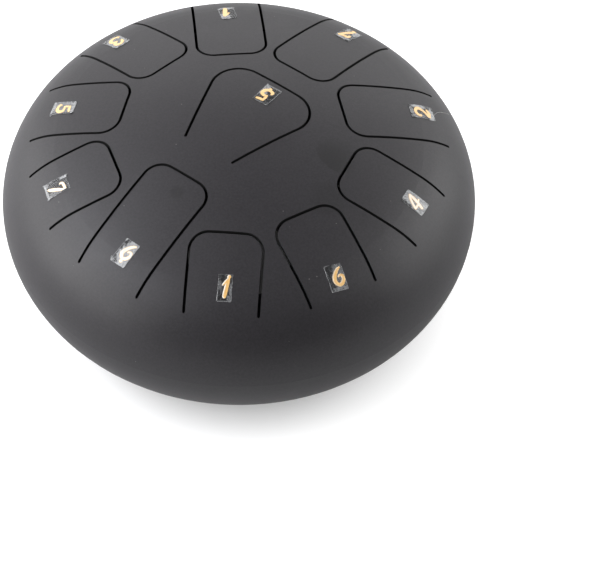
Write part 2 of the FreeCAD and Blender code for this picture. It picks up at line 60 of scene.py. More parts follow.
class Recipe:
    """A node material under construction, or a world's background."""

    def __init__(self, name, world=None):
        self.material = world or bpy.data.materials.new(name)
        self.material.use_nodes = True
        self.tree = self.material.node_tree
        self.tree.nodes.clear()
        output = self.add("OutputWorld" if world else "OutputMaterial")
        self.shader = self.add("Background" if world else "BsdfPrincipled")
        self.link(self.shader.outputs[0], output.inputs["Surface"])
        self.place = self.add("TexCoord").outputs["Object"]

    def add(self, kind, **values):
        """A node of some kind, with its settings."""
        node = self.tree.nodes.new("ShaderNode" + kind)
        for key, value in values.items():
            setattr(node, key, value)
        return node

    def link(self, source, target):
        """Join an output to an input."""
        self.tree.links.new(source, target)

    def set(self, **values):
        """Set the shader's own sockets."""
        for key, value in values.items():
            self.shader.inputs[key.replace("_", " ")].default_value = value

    def feed(self, source, name):
        """Link a value to one of the shader's sockets."""
        self.link(source, self.shader.inputs[name])

    def axes(self):
        """A spot's x, y and z."""
        node = self.add("SeparateXYZ")
        self.link(self.place, node.inputs["Vector"])
        return node.outputs

    def attribute(self, name):
        """A value that the mesh carries at its points."""
        return self.add("Attribute", attribute_name=name).outputs["Fac"]

    def noise(self, scale, detail=2.0, roughness=0.5, place=None):
        """Mottling with so many spots to the metre."""
        node = self.add("TexNoise")
        node.inputs["Scale"].default_value = scale
        node.inputs["Detail"].default_value = detail
        node.inputs["Roughness"].default_value = roughness
        self.link(place or self.place, node.inputs["Vector"])
        return node.outputs["Fac"]

    def spread(self, value, low, high, to_low, to_high, smooth=False):
        """Map a value's range from low..high to another, and hold it there beyond."""
        node = self.add("MapRange", clamp=True, interpolation_type="SMOOTHSTEP" if smooth else "LINEAR")
        self.link(value, node.inputs["Value"])
        ends = {"From Min": low, "From Max": high, "To Min": to_low, "To Max": to_high}
        for key, number in ends.items():
            node.inputs[key].default_value = number
        return node.outputs["Result"]

    def patch(self, away, start, end, strength=1):
        """A patch that is so strong up to start and fades out by end, both in millimetres."""
        return self.spread(away, start * MM, end * MM, strength, 0, smooth=True)

    def distance(self, point):
        """How far a spot lies from a point in millimetres, itself in metres."""
        node = self.add("VectorMath", operation="DISTANCE")
        self.link(self.place, node.inputs[0])
        node.inputs[1].default_value = [value * MM for value in point]
        return node.outputs["Value"]

    def length(self, first, second):
        """How long a flat vector is."""
        node = self.add("CombineXYZ")
        self.link(first, node.inputs["X"])
        self.link(second, node.inputs["Y"])
        measure = self.add("VectorMath", operation="LENGTH")
        self.link(node.outputs["Vector"], measure.inputs[0])
        return measure.outputs["Value"]

    def math(self, operation, first, second):
        """Work out a sum, product or the like of two values, each a number or a socket."""
        node = self.add("Math", operation=operation)
        for socket, value in zip(node.inputs, (first, second)):
            if isinstance(value, (int, float)):
                socket.default_value = value
            else:
                self.link(value, socket)
        return node.outputs["Value"]

    def blend(self, amount, first, second):
        """A colour between two: each a triple or a colour socket."""
        node = self.add("Mix", data_type="RGBA")
        self.link(amount, node.inputs["Factor"])
        for socket, value in ((node.inputs[6], first), (node.inputs[7], second)):
            if isinstance(value, tuple):
                socket.default_value = (*value, 1)
            else:
                self.link(value, socket)
        return node.outputs[2]

    def bump(self, layers):
        """Stack bumps, each a height socket with its depth in millimetres."""
        below = None
        for height, depth in layers:
            node = self.add("Bump")
            node.inputs["Distance"].default_value = depth * MM
            self.link(height, node.inputs["Height"])
            if below:
                self.link(below, node.inputs["Normal"])
            below = node.outputs["Normal"]
        self.feed(below, "Normal")


# Rubbed patches on the coating: the middle, from where to where it fades out, and how dark it is
RUBBED = [((49, -45, 120), 6, 12, 0.28), ((-28, -49, 122), 2, 4.4, 0.4)]
# A wiped patch and the darkest place in it: the middle of each and from where to where it fades out, and
# how dark it is there
WIPED, WIPED_FADE = (55, -13.5, 121), (13.1, 14.3)
DARKEST, DARKEST_FADE, WIPED_DARK = (49, -20, 121), (4, 17), 0.6
# How far the rims of all these patches wander
RIM_WANDER = 1.2
# Dust: cells to the metre, a speck's rim in its cell, and the share of cells without one
DUST_CELLS, SPECK, NO_SPECK = 260, (0.04, 0.075), 0.93
# How deep under the surface the slot walls and the shell's inside start to take a painted shade of dead
# black, and from where on they are fully black
SLOT_SHADE_DEPTH = 0.1, 0.2


def depth_in_slots(m):
    """How far a spot lies under the upper shell's outer surface, in metres; 0 on the lower shell."""
    x, y, z = m.axes()
    height = m.math("SUBTRACT", z, MIDPLANE * MM)
    reach = m.length(x, y)
    under_dome = m.math("SUBTRACT", DOME * MM, m.distance((0, 0, MIDPLANE - DOME_CENTRE)))
    from_tube = m.length(m.math("SUBTRACT", reach, SHOULDER_CENTRE * MM), height)
    under_shoulder = m.math("SUBTRACT", SHOULDER * MM, from_tube)
    inside = m.math("MULTIPLY", under_dome, m.math("LESS_THAN", reach, JOIN * MM))
    outside = m.math("MULTIPLY", under_shoulder, m.math("GREATER_THAN", reach, JOIN * MM))
    return m.math("MULTIPLY", m.math("ADD", inside, outside), m.math("GREATER_THAN", height, 0))


def eased_join(m):
    """How high the eased curve stands over the end of its easing, from 2 to 0 times EASED_HEIGHT."""
    x, y, z = m.axes()
    reach = m.length(x, y)
    inner = m.spread(reach, (JOIN - EASE) * MM, JOIN * MM, 0, 1)
    outer = m.spread(reach, JOIN * MM, (JOIN + EASE) * MM, 1, 0)
    height = m.math("SUBTRACT", m.math("POWER", outer, 3), m.math("POWER", inner, 3))
    return m.math("MULTIPLY", m.math("ADD", height, 1), m.math("GREATER_THAN", z, MIDPLANE * MM))


def rubbing(m, wipes):
    """How far the rubbed and wiped patches darken the coating at a spot."""
    uneven = m.spread(wipes, 0.3, 0.7, -RIM_WANDER * MM, RIM_WANDER * MM)
    wiped = m.patch(m.math("ADD", m.distance(WIPED), uneven), *WIPED_FADE, WIPED_DARK)
    most = m.math("MULTIPLY", wiped, m.patch(m.distance(DARKEST), *DARKEST_FADE))
    for middle, start, end, dark in RUBBED:
        rubbed = m.patch(m.math("ADD", m.distance(middle), uneven), start, end, dark)
        most = m.math("MAXIMUM", most, rubbed)
    return most


def specks(m):
    """Where a speck of dust lies: in few of the cells, small in its cell."""
    cells = m.add("TexVoronoi")
    cells.inputs["Scale"].default_value = DUST_CELLS
    m.link(m.place, cells.inputs["Vector"])
    chosen = m.add("SeparateColor")
    m.link(cells.outputs["Color"], chosen.inputs["Color"])
    near = m.spread(cells.outputs["Distance"], *SPECK, 1, 0)
    return m.math("MULTIPLY", near, m.math("GREATER_THAN", chosen.outputs["Red"], NO_SPECK))


def coating():
    """Matt black, baked on: a fine grain, a little uneven in its gloss, with a few specks of dust, and a
    painted shade of dead black on the slot walls and the shell's inside.
    """
    m = Recipe("matte_black_coating")
    dark, pale, pitted = (0.0285, 0.026, 0.0295), (0.0335, 0.031, 0.0345), (0.012, 0.012, 0.013)
    rubbed, dust, painted_slot_shade = (0.012, 0.012, 0.012), (0.2, 0.19, 0.18), (0.006, 0.006, 0.006)
    cloud, wipes, pits = m.noise(16, 3, 0.55), m.noise(46, 4, 0.6), m.noise(850, 3, 0.7)
    start, end = SLOT_SHADE_DEPTH
    slot_shade_mask = m.spread(depth_in_slots(m), start * MM, end * MM, 0, 1)
    paint = m.blend(cloud, dark, pale)
    paint = m.blend(m.spread(pits, 0.35, 0.65, 0.5, 0), paint, pitted)
    paint = m.blend(rubbing(m, wipes), paint, rubbed)
    paint = m.blend(specks(m), paint, dust)
    # Painted shade: the slot walls and the shell's inside take a dead black, darker than the paint itself
    m.feed(m.blend(slot_shade_mask, paint, painted_slot_shade), "Base Color")
    roughness = m.math("ADD", m.spread(cloud, 0.3, 0.7, 0.44, 0.48), m.spread(wipes, 0.55, 0.8, 0, -0.04))
    m.feed(m.math("MAXIMUM", roughness, slot_shade_mask), "Roughness")
    m.set(Specular_IOR_Level=0.41)
    ripple, grain = m.noise(420, 2), m.noise(2600, 3, 0.6)
    m.bump([(eased_join(m), EASED_HEIGHT), (ripple, 0.012), (grain, 0.012)])
    return m.material


def rubber():
    """Black moulded rubber with a faint bloom."""
    m = Recipe("moulded_rubber")
    bloom = m.noise(180, 3)
    m.feed(m.blend(bloom, (0.016, 0.016, 0.017), (0.03, 0.03, 0.03)), "Base Color")
    m.feed(m.spread(bloom, 0.3, 0.7, 0.6, 0.78), "Roughness")
    m.bump([(m.noise(900, 3), 0.03), (m.noise(3000, 2), 0.01)])
    return m.material


def zinc():
    """Dulled zinc plate, with a faint yellow cast in patches and fine scratches."""
    m = Recipe("zinc_plate")
    patches = m.noise(260, 3)
    m.feed(m.blend(patches, (0.42, 0.42, 0.41), (0.37, 0.36, 0.31)), "Base Color")
    m.set(Metallic=1)
    stretch = m.add("Mapping")
    stretch.inputs["Scale"].default_value = (1, 14, 1)
    m.link(m.place, stretch.inputs["Vector"])
    scratches = m.noise(700, 2, place=stretch.outputs["Vector"])
    m.feed(m.spread(scratches, 0.35, 0.7, 0.36, 0.55), "Roughness")
    m.bump([(scratches, 0.006)])
    return m.material


def clear_film():
    """Clear plastic: milky where its glue has caught air, and whiter along its cut edge."""
    m = Recipe("clear_film")
    creases = m.noise(900, 3, 0.6)
    milky = m.math("MULTIPLY", m.attribute("milk"), m.spread(creases, 0.3, 0.7, 0.8, 1.1))
    haze = m.math("MAXIMUM", milky, m.attribute("rim"))
    m.feed(m.blend(haze, (0.045, 0.045, 0.046), (0.45, 0.455, 0.46)), "Base Color")
    m.feed(m.spread(haze, 0, 1, 0.4, 0.92), "Alpha")
    m.feed(m.spread(creases, 0.3, 0.7, 0.16, 0.32), "Roughness")
    m.bump([(creases, 0.05)])
    return m.material


def gold_foil():
    """Pale gold foil, pressed on: vivid, a little uneven, with fine crinkles, and a painted highlight that
    turns it near white where its mesh marks it.
    """
    m = Recipe("pale_gold_foil")
    patches = m.noise(500, 3)
    gold = m.blend(patches, (0.92, 0.54, 0.17), (0.99, 0.61, 0.22))
    # Painted highlight and painted reflection of the lamps: the gold turns near white by the value the
    # mesh carries
    m.feed(m.blend(m.attribute("painted_highlight"), gold, (0.97, 0.93, 0.84)), "Base Color")
    m.set(Specular_IOR_Level=1)
    m.feed(m.spread(patches, 0.3, 0.7, 0.3, 0.42), "Roughness")
    m.bump([(m.noise(2200, 2), 0.015)])
    return m.material


# The finish of each node, by the first of these words in its name
ZINC, FILM, GOLD = zinc(), clear_film(), gold_foil()
FINISHES = {"shell": coating(), "washer": ZINC, "screw": ZINC, "film": FILM, "foot": rubber()}
for name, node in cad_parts.items():
    finish = next(value for key, value in FINISHES.items() if key in name)
    node.data.materials.clear()
    node.data.materials.append(finish)


# Points on the painted steel


def on_steel(x, y, height):
    """The point that stands over (x, y) on the steel and then so far out along its normal."""
    reach = math.hypot(x, y)
    if reach <= JOIN:
        centre = Vector((0, 0, MIDPLANE - DOME_CENTRE))
        foot = Vector((x, y, centre.z + math.sqrt(DOME**2 - reach**2)))
    else:
        centre = Vector((x / reach * SHOULDER_CENTRE, y / reach * SHOULDER_CENTRE, MIDPLANE))
        foot = Vector((x, y, MIDPLANE + math.sqrt(SHOULDER**2 - (reach - SHOULDER_CENTRE) ** 2)))
    return (foot + (foot - centre).normalized() * height) * MM


# Number films, in millimetres and degrees; on a film, up points to the drum's axis

# The tongue's direction; how far the film's middle lies from the drum's axis and aside of that direction;
# its turn; how far it reaches to the left, right, down and up; the digit, its offset across and up, its
# turn, how tall it is drawn and how much bolder
FILMS = {
    "low_five": (57.5, 21.9, -0.9, 1.5, (-5.0, 4.2, -6.9, 6.8), "5", (0.1, 0.4), 0, 1.03, 0.12),
    "low_six": (-122.5, 95.3, 0.9, -2.0, (-4.3, 4.35, -6.6, 6.4), "6", (0.9, 0.85), 0, 1, 0.1),
    "low_seven": (57.3, 98.6, 0.6, 0.0, (-4.6, 4.9, -6.4, 6.9), "7", (-0.2, -0.3), 8, 0.96, 0.28),
    "one": (99.1, 92.8, 0.3, 6.0, (-4.8, 4.0, -6.6, 7.0), "1", (-0.4, -0.6), 0, 0.96, 0.2),
    "two": (16.1, 98.9, 2.2, 0.0, (-5.1, 4.6, -6.7, 6.6), "2", (-0.3, 0), 0, 0.9, 0.02),
    "three": (136.6, 99.1, 1.4, -2.0, (-4.8, 5.2, -5.9, 6.5), "3", (0, 0.3), 0, 0.92, 0.16),
    "four": (-21.2, 99.0, 2.2, -2.0, (-4.6, 4.2, -6.2, 6.2), "4", (0, 0.1), 0, 0.97, 0.05),
    "five": (171.8, 95.7, -0.5, -3.0, (-4.6, 4.3, -6.3, 6.6), "5", (0.2, 0.1), 0, 0.87, 0.1),
    "six": (-56.7, 101.9, 0.5, -8.0, (-5.4, 3.6, -6.1, 6.1), "6", (0, 0.05), 0, 0.97, 0.08),
    "seven": (-155.8, 98.9, -1.4, -1.4, (-4.7, 5.1, -6.0, 6.2), "7", (0.6, 0), 0, 0.9, 0.05),
    "high_one": (-90.0, 97.7, 0.6, 0.0, (-3.2, 4.1, -6.65, 6.2), "1", (0, 0), 0, 1, 0.05),
}

# The octave's dot under or over a digit: across, up and its radius
DOTS = {
    "low_five": (0.5, -4.5, 0.9),
    "low_six": (0.75, -4.35, 0.95),
    "low_seven": (0.5, -5.5, 1.1),
    "high_one": (2.15, 5.0, 0.95),
}

# How far a painted highlight turns the foil's gold near white, over the whole digit (a painted reflection
# of the lamps) and in a band along its left edges (a painted highlight from the lights on the left); how
# far it is on the other digits; how wide the band is;
# and how far inside its edge a whole digit's painted highlight starts and is full
PAINTED_FOIL_HIGHLIGHT = {"four": (0.85, 0), "low_six": (0.8, 0), "seven": (0.8, 0), "high_one": (0, 0.8), "six": (0, 0.5)}
FAINT_PAINTED_FOIL_HIGHLIGHT, LEFT_BAND, WHOLE_BORDER = (0.12, 0), 0.45, (0.05, 0.3)

# Milky patches where the glue has caught air: across, up, half as wide and high, and how strong
MILK = {
    "low_five": [
        (3.2, -2.8, 3.0, 4.4, 0.75), (-1, -6.5, 4, 0.5, 0.5), (-0.5, 6.5, 4.5, 0.35, 0.4),
        (4.1, 2, 0.5, 5, 0.4),
    ],
    "low_six": [
        (1.4, 0, 4.2, 8.5, 1.0), (-0.9, -1.3, 3.0, 2.9, 0.85), (-3.9, -5.8, 0.9, 1.0, 0.9),
        (-4, 5.8, 0.8, 0.8, 0.8),
    ],
    "low_seven": [
        (0.8, 4.8, 4.4, 2.2, 0.75), (-2.5, -3.5, 2.0, 3.2, 0.95), (3.0, -4, 1.3, 3, 0.75),
        (0, 0, 6, 8, 0.3),
    ],
    "one": [(1.3, 3.8, 2.9, 4.2, 0.75), (-0.5, -5.5, 5, 1.2, 0.9), (0, 0, 6, 8, 0.08)],
    "two": [
        (-1.5, -5, 4.5, 2, 1.0), (3.6, 1, 1.3, 4.5, 0.9), (-3.4, 2.5, 1.5, 4, 0.55), (0, 5.6, 3, 1.1, 0.6),
        (0, 0, 6, 8, 0.2),
    ],
    "three": [(-0.6, 0.6, 5.2, 7.5, 0.65), (3.8, 1.5, 1.8, 5.0, 0.7), (0, 0, 6, 8, 0.3)],
    "four": [(1.0, 0, 5.0, 10, 0.9), (-2, -4.5, 3, 3, 0.9), (2, -5, 3, 3, 0.9)],
    "five": [(-0.8, 0, 4.6, 9, 0.6), (0, 5.6, 5, 1.2, 0.8), (-1, -5.6, 4.6, 1.0, 0.8), (0, 0, 6, 9, 0.3)],
    "six": [(1.2, 1.0, 3.3, 6.5, 0.42), (0.5, -5.2, 4.4, 1.2, 0.55)],
    "seven": [
        (-3.6, 4.6, 0.8, 2.4, 0.85), (3.7, -2.4, 1.7, 4.6, 0.5), (0.3, -5.7, 5.4, 0.7, 0.95),
        (-3.4, -4.8, 1.4, 1.2, 0.6), (3, 5.8, 3, 0.5, 0.4), (0, 0, 6, 8, 0.12),
    ],
    "high_one": [
        (-2.2, 1.1, 1.4, 2.2, 0.35), (2.2, 5.4, 2.4, 1.0, 0.3), (3.4, -1.5, 0.7, 3.5, 0.5),
        (2.9, -5.2, 1.3, 1.5, 0.5), (-1.4, -1.6, 0.5, 1.8, 0.3),
    ],
}

# Corners that curled up and were pulled out: across, up and half as wide, from the film outward
TAILS = {
    "five": [[(3.6, -5.4, 0.8), (5.2, -5.6, 0.3)]],
    "seven": [
        [(-4.0, 5.4, 0.5), (-4.1, 6.7, 0.3)],
        [(-3.9, -5.3, 0.7), (-4.7, -6.0, 0.3)],
        [(4.4, -5.3, 0.7), (5.7, -6.1, 0.3)],
    ],
    "two": [[(-4.7, -5.4, 0.4), (-5.6, -3.4, 0.25), (-6.0, -1.8, 0.12)]],
    "low_six": [[(-3.8, -5.8, 0.6), (-4.8, -5.0, 0.3)]],
    "three": [[(4.5, -5.0, 0.8), (5.9, -4.5, 0.3)]],
    "one": [[(-4.2, -6.0, 0.5), (-5.3, -5.6, 0.25)]],
}

# Brush strokes of each digit: across, up and half as wide
STROKES = {
    "1": [
        [(1.9, 3.9, 0.7), (1.5, 1.8, 0.95), (0.9, -1.6, 1.05), (0.4, -4.3, 0.95)],
        [(1.6, 3.7, 0.6), (0.6, 2.6, 0.6), (-0.7, 0.9, 0.42)],
    ],
    "2": [
        [
            (-2.8, 1.3, 0.8), (-2.4, 2.7, 0.8), (-0.9, 3.7, 0.85), (0.9, 3.7, 0.9), (2.3, 2.4, 1.0),
            (2.1, 0.6, 1.0), (0.4, -1.4, 0.85), (-2.0, -3.0, 0.8), (-4.8, -4.2, 0.7),
        ],
        [(-4.9, -4.4, 0.7), (-2.6, -4.0, 0.85), (-0.4, -4.4, 1.0), (1.9, -3.6, 0.65)],
    ],
    "3": [
        [
            (-2.5, 1.5, 0.6), (-1.8, 3.2, 0.7), (0.2, 4.2, 0.7), (2.2, 3.4, 0.85), (2.1, 1.6, 0.8),
            (0.4, 0.5, 0.5),
        ],
        [
            (0.4, 0.5, 0.5), (2.2, -0.5, 0.8), (2.2, -2.6, 0.9), (0.6, -4.1, 0.85), (-1.6, -4.4, 0.75),
            (-3.1, -3.5, 0.7), (-3.1, -2.7, 0.45),
        ],
    ],
    "4": [
        [(1.8, 4.1, 0.45), (0.2, 2.9, 0.65), (-1.8, 0.4, 0.7), (-3.4, -1.9, 0.6)],
        [(-3.4, -2.0, 0.55), (-0.6, -2.0, 0.6), (2.5, -0.9, 0.45)],
        [(1.8, 3.8, 0.65), (1.1, 0.6, 0.9), (0.1, -2.5, 0.95), (-0.5, -4.3, 0.8)],
    ],
    "5": [
        [(-0.9, 4.0, 0.65), (0.8, 4.1, 0.75), (2.5, 4.5, 0.5)],
        [(-0.9, 4.0, 0.55), (-1.1, 2.2, 0.6), (-0.9, 0.6, 0.55)],
        [
            (-0.9, 0.6, 0.5), (0.6, 0.9, 0.65), (2.2, 0.1, 0.85), (2.5, -1.7, 0.95), (1.3, -3.4, 0.85),
            (-0.6, -3.7, 0.75), (-2.2, -3.0, 0.75), (-2.3, -1.9, 0.45),
        ],
    ],
    "6": [
        [
            (2.0, 4.1, 0.42), (0.6, 3.2, 0.7), (-0.9, 1.5, 0.85), (-2.0, -0.6, 1.0), (-1.9, -2.4, 0.95),
            (-0.5, -3.8, 0.75), (1.2, -3.4, 0.8),
        ],
        [(1.2, -3.4, 0.8), (2.4, -1.8, 0.85), (2.4, -0.2, 0.75), (1.3, 0.5, 0.5), (0.2, -0.1, 0.35)],
    ],
    "7": [
        [(-1.2, 2.1, 0.5), (-0.9, 3.4, 0.7), (1.0, 3.8, 0.8), (2.8, 3.9, 0.75), (4.1, 4.3, 0.5)],
        [(4.0, 4.2, 0.6), (2.6, 1.6, 0.8), (1.0, -1.4, 0.95), (-0.3, -3.6, 0.9), (-1.1, -4.8, 0.55)],
    ],
}

# A film: its corners' radius, its underside over the steel and its thickness, half its width and height,
# and how high its blisters, creases and curled corners stand
FILM_CORNER, FILM_UNDERSIDE, FILM_THICKNESS = 0.4, 0.06, 0.08
HALF_WIDTH, HALF_HEIGHT = 4.5, 6.6
BLISTER, CREASE, CURL = 0.5, 0.1, 0.9
# How wide the white along its cut edge is
WHITE_RIM = 0.5
# The foil over the film's top: its underside, its edge, how much its middle is crowned, and how wide the
# rounded border round the crown is
FOIL_UNDERSIDE, FOIL_EDGE, FOIL_CROWN, FOIL_BORDER = 0.005, 0.015, 0.07, 0.3
# The spacing of a film's and a digit's grid, and how many steps it reaches across and up from the middle
FILM_GRID, DIGIT_GRID = (0.25, 22, 34), (0.12, 34, 52)
# A grid's cell counts if it reaches so far inside the outline. A slope less than this is taken as this.
LEAST_INSIDE, LEAST_SLOPE = 0.02, 0.3
# How close together a stroke's dots lie, and the distance given where there is no stroke
DOT_SPACING, FAR = 0.1, 9.0


def smooth_stroke(points):
    """Dots close together along a smooth curve through a stroke's points."""
    ends = [points[0], *points, points[-1]]
    dots = []
    for before, start, end, after in zip(ends, ends[1:], ends[2:], ends[3:]):
        a, b, c, d = (np.array(point) for point in (before, start, end, after))
        count = max(2, int(np.hypot(*(c - b)[:2]) / DOT_SPACING))
        for step in np.linspace(0, 1, count, endpoint=False):
            bend = 2 * a - 5 * b + 4 * c - d + step * (3 * (b - c) + d - a)
            dots.append(b + 0.5 * step * (c - a + step * bend))
    dots.append(np.array(points[-1]))
    return dots


def stroke_edge(across, up, strokes):
    """How far each point lies outside an outline of brush strokes; negative inside."""
    edge = np.full(across.shape, FAR)
    for stroke in strokes:
        for x, y, half in smooth_stroke(stroke):
            edge = np.minimum(edge, np.hypot(across - x, up - y) - half)
    return edge


def held(value):
    """A number held between 0 and 1."""
    return min(1, max(0, value))


def wander(point, scale, seed):
    """Smooth noise from -1 to 1 on a film, with so many millimetres to a wave; each seed has its own."""
    return noise.noise(Vector((point[0] / scale, point[1] / scale, 7.3 * seed)))


def film_edge(across, up, reach, seed):
    """How far each point lies outside a film's outline, which was cut by hand."""
    left, right, bottom, top = reach
    gap = np.empty(across.shape)
    for index in np.ndindex(across.shape):
        u, v = across[index], up[index]
        trim = 0.15 * wander((u, v), 3.0, seed) + 0.1 * wander((u, v), 0.9, seed + 0.4)
        x = abs(u - (left + right) / 2) - (right - left) / 2 + FILM_CORNER + trim
        y = abs(v - (bottom + top) / 2) - (top - bottom) / 2 + FILM_CORNER + trim
        gap[index] = math.hypot(max(x, 0), max(y, 0)) + min(max(x, y), 0) - FILM_CORNER
    return gap


def film_height(u, v, seed):
    """The height of a film's top over the steel: blisters, creases and lifted corners."""
    blister = max(0, wander((u, v), 2.6, seed + 0.7)) ** 2
    crease = 1 - min(1, abs(wander((u, v), 3.4, seed + 0.2)) * 5)
    corner = max(0, abs(u) / HALF_WIDTH + abs(v) / HALF_HEIGHT - 1.55) / 0.45
    lift = max(0, wander((math.copysign(4, u), math.copysign(4, v)), 1.7, seed + 0.9))
    flat = FILM_UNDERSIDE + FILM_THICKNESS
    return flat + BLISTER * blister + CREASE * crease**2 + CURL * lift * corner**1.5


def milkiness(spot, note, seed):
    """How milky a film is at a spot: in patches, and faintly along its creases."""
    across, up = spot
    ragged = 0.3 * wander(spot, 1.6, seed + 0.6) + 0.15 * wander(spot, 0.6, seed + 0.8)
    streak = 1 + 0.45 * wander((2.2 * across + 1.3 * up, 0.5 * up - 0.9 * across), 1.4, seed + 0.1)
    most = 0.35 * (1 - min(1, abs(wander(spot, 2.6, seed + 0.2)) * 10))
    for u, v, half_width, half_height, strength in MILK[note]:
        away = math.hypot((across - u) / half_width, (up - v) / half_height) + ragged
        most = max(most, strength * streak * held((1.15 - away) / 0.3))
    return min(1, most)


def whiteness(spot, edge, seed):
    """How white a film is along its cut edge: most where the edge faces down, and unevenly."""
    across, up = spot
    side = 0.7 - 0.08 * up - 0.03 * across
    uneven = held(side + 0.9 * wander(spot, 2.2, seed + 0.3))
    return uneven * held(1 + min(edge, 0) / WHITE_RIM) ** 1.5


def grid_points(grid):
    """How far across and up each point of a grid lies."""
    step, columns, rows = grid
    return np.meshgrid(np.arange(-columns, columns + 1) * step, np.arange(-rows, rows + 1) * step)


def film_point(note, u, v, height):
    """The point on the drum that lies so far across and up on a film, and so high over the steel."""
    direction, reach, aside, turn, *_ = FILMS[note]
    about, own = math.radians(direction), math.radians(turn)
    x = reach - (v * math.cos(own) + u * math.sin(own))
    y = aside + (u * math.cos(own) - v * math.sin(own))
    level = x * math.cos(about) - y * math.sin(about), x * math.sin(about) + y * math.cos(about)
    return on_steel(*level, height)


def plate(kind, note, edge, top, bottom, step):
    """A thin closed plate over the grid cells inside an outline, its border drawn in to the outline.

    edge, top and bottom are grids of how far each point lies outside the outline and of the two heights.
    Also gives the across, up and edge distance of each of the plate's points.
    """
    rows, columns = edge.shape
    slope_up, slope_across = np.gradient(edge, step)
    steep = np.maximum(np.hypot(slope_up, slope_across), LEAST_SLOPE)
    points, faces, spots = [], [], []
    used = {}

    def corner(i, j):
        """The number of a corner's upper point; its lower point comes next."""
        if (i, j) not in used:
            u, v = (j - (columns - 1) / 2) * step, (i - (rows - 1) / 2) * step
            if edge[i, j] > 0:
                u -= edge[i, j] * slope_across[i, j] / steep[i, j] ** 2
                v -= edge[i, j] * slope_up[i, j] / steep[i, j] ** 2
            used[i, j] = len(points)
            points.append(film_point(note, u, v, top[i, j]))
            points.append(film_point(note, u, v, bottom[i, j]))
            spots.extend([(u, v, edge[i, j])] * 2)
        return used[i, j]

    cells = set()
    for i in range(rows - 1):
        for j in range(columns - 1):
            if edge[i : i + 2, j : j + 2].min() < -LEAST_INSIDE:
                cells.add((i, j))
    for i, j in sorted(cells):
        a, b, c, d = corner(i, j), corner(i, j + 1), corner(i + 1, j + 1), corner(i + 1, j)
        faces.append((a, b, c, d))
        faces.append((d + 1, c + 1, b + 1, a + 1))
        sides = {(i - 1, j): (a, b), (i, j + 1): (b, c), (i + 1, j): (c, d), (i, j - 1): (d, a)}
        for beside, (first, second) in sides.items():
            if beside not in cells:
                faces.append((second, first, first + 1, second + 1))
    mesh = bpy.data.meshes.new(f"{kind}_{note}")
    mesh.from_pydata(points, [], faces)
    mesh.validate()
    mesh.shade_smooth()
    item = bpy.data.objects.new(f"{kind}_{note}", mesh)
    bpy.context.scene.collection.objects.link(item)
    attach(item, "root")
    return item, spots


def write_attribute(item, name, values):
    """Give each point of a mesh a value that its material reads."""
    item.data.attributes.new(name, "FLOAT", "POINT").data.foreach_set("value", values)


def number_film(note, seed):
    """A clear film, in the place of the plain one in the frame."""
    outline = FILMS[note][4]
    across, up = grid_points(FILM_GRID)
    edge = np.minimum(film_edge(across, up, outline, seed), stroke_edge(across, up, TAILS.get(note, [])))
    top = np.vectorize(film_height)(across, up, seed)
    film, spots = plate("film", note, edge, top, top - FILM_THICKNESS, FILM_GRID[0])
    film.data.materials.append(FILM)
    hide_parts(f"number_film_{note}")
    write_attribute(film, "rim", [whiteness(spot, depth, seed) for *spot, depth in spots])
    write_attribute(film, "milk", [milkiness(spot, note, seed) for *spot, _ in spots])


def digit_edge(note, across, up):
    """How far each point of a film lies outside its digit and the digit's dot."""
    *_, digit, offset, lean, tall, bold = FILMS[note]
    cosine, sine = math.cos(math.radians(lean)), math.sin(math.radians(lean))
    u, v = across - offset[0], up - offset[1]
    edge = stroke_edge(u * cosine + v * sine, (v * cosine - u * sine) / tall, STROKES[digit]) - bold
    dot = DOTS.get(note)
    return np.minimum(edge, stroke_edge(across, up, [[dot, dot]])) if dot else edge


def printed_digit(note, seed):
    """The digit on a film: a skin of foil that follows the film's blisters and creases, with a painted
    highlight on its points.
    """
    across, up = grid_points(DIGIT_GRID)
    edge = digit_edge(note, across, up)
    ground = np.vectorize(film_height)(across, up, seed)
    inward = np.clip(-edge / FOIL_BORDER, 0, 1)
    crown = FOIL_EDGE + FOIL_CROWN * np.sqrt(1 - (1 - inward) ** 2)
    foil, spots = plate("digit", note, edge, ground + crown, ground + FOIL_UNDERSIDE, DIGIT_GRID[0])
    foil.data.materials.append(GOLD)
    across, up, depth = np.array(spots).T
    # Painted highlight: over a whole digit it stands for the lamps' reflection, and in the band along the
    # left edges for the light from the left
    whole, left_edge = PAINTED_FOIL_HIGHLIGHT.get(note, FAINT_PAINTED_FOIL_HIGHLIGHT)
    from_left = digit_edge(note, across - LEFT_BAND, up)
    painted_left_band = left_edge * np.interp(from_left, (-FOIL_BORDER, 0), (0, 1))
    write_attribute(foil, "painted_highlight", np.maximum(painted_left_band, whole * np.interp(-depth, WHOLE_BORDER, (0, 1))))


for seed, note in enumerate(FILMS, start=1):
    number_film(note, seed)
    printed_digit(note, seed)


# A fibre on the coating

# Where its middle runs: x, y and height over the steel, in millimetres; and its radius
FIBRE = [
    (100.6, 28.6, 0.3), (101.2, 31.0, 0.12), (102.9, 35.0, 0.12), (105.8, 38.5, 0.2),
    (109.9, 43.3, 0.12),
]
FIBRE_RADIUS = 0.07


def lint():
    """Pale grey cotton."""
    m = Recipe("lint")
    m.feed(m.blend(m.noise(1500), (0.45, 0.44, 0.42), (0.62, 0.61, 0.58)), "Base Color")
    m.set(Roughness=0.7)
    return m.material


